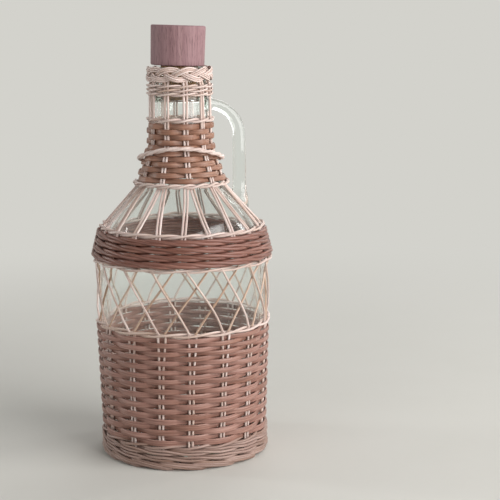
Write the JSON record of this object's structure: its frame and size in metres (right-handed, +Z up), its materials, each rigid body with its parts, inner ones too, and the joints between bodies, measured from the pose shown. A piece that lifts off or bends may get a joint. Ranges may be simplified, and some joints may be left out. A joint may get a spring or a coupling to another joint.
{
  "type": "wicker-covered glass jug",
  "caption": "Clear glass jug with a finger handle in a woven willow jacket with an open lattice, a plaited border, a loose neck hoop and a wooden stopper.",
  "frame": {"origin": "on the jug's axis at the floor, which is the middle of the bounding box's bottom", "axes": "+Z up along the jug's axis, +X towards the glass handle"},
  "size_m": [0.1404, 0.1404, 0.33],
  "materials": {
    "clear_glass": "clear, smooth",
    "peeled_willow": "peeled willow, satin",
    "brown_willow": "boiled willow, satin",
    "stopper_wood": "turned wood, matt",
    "cork": "cork, matt"
  },
  "bodies": {
    "jug": {"glass_jug": "clear_glass", "base_weave": "brown_willow", "base_sticks": "peeled_willow", "foot_border": "peeled_willow", "foot_wale": "peeled_willow", "basket_stakes": "peeled_willow", "basket_strips_a": "brown_willow", "basket_strips_b": "brown_willow", "basket_top_ring": "peeled_willow", "lattice_rods_left": "peeled_willow", "lattice_rods_right": "peeled_willow", "band_bottom_ring": "peeled_willow", "band_weave": "brown_willow", "band_top_ring": "peeled_willow", "shoulder_stakes": "peeled_willow", "neck_bottom_ring": "peeled_willow", "neck_strips_a": "brown_willow", "neck_strips_b": "brown_willow", "neck_stakes": "peeled_willow", "neck_top_ring": "peeled_willow", "collar_weave": "peeled_willow", "plaited_border": "peeled_willow"},
    "stopper": {"cork_plug": "cork", "stopper_head": "stopper_wood"},
    "hoop": {"neck_hoop": "peeled_willow"}
  },
  "joints": [
    {"name": "stopper_lift", "type": "slide", "parent": "jug", "child": "stopper", "axis": [0, 0, 1], "range_m": [0, 0.045]},
    {"name": "hoop_lift", "type": "slide", "parent": "jug", "child": "hoop", "axis": [0, 0, 1], "range_m": [0, 0.025]}
  ]
}
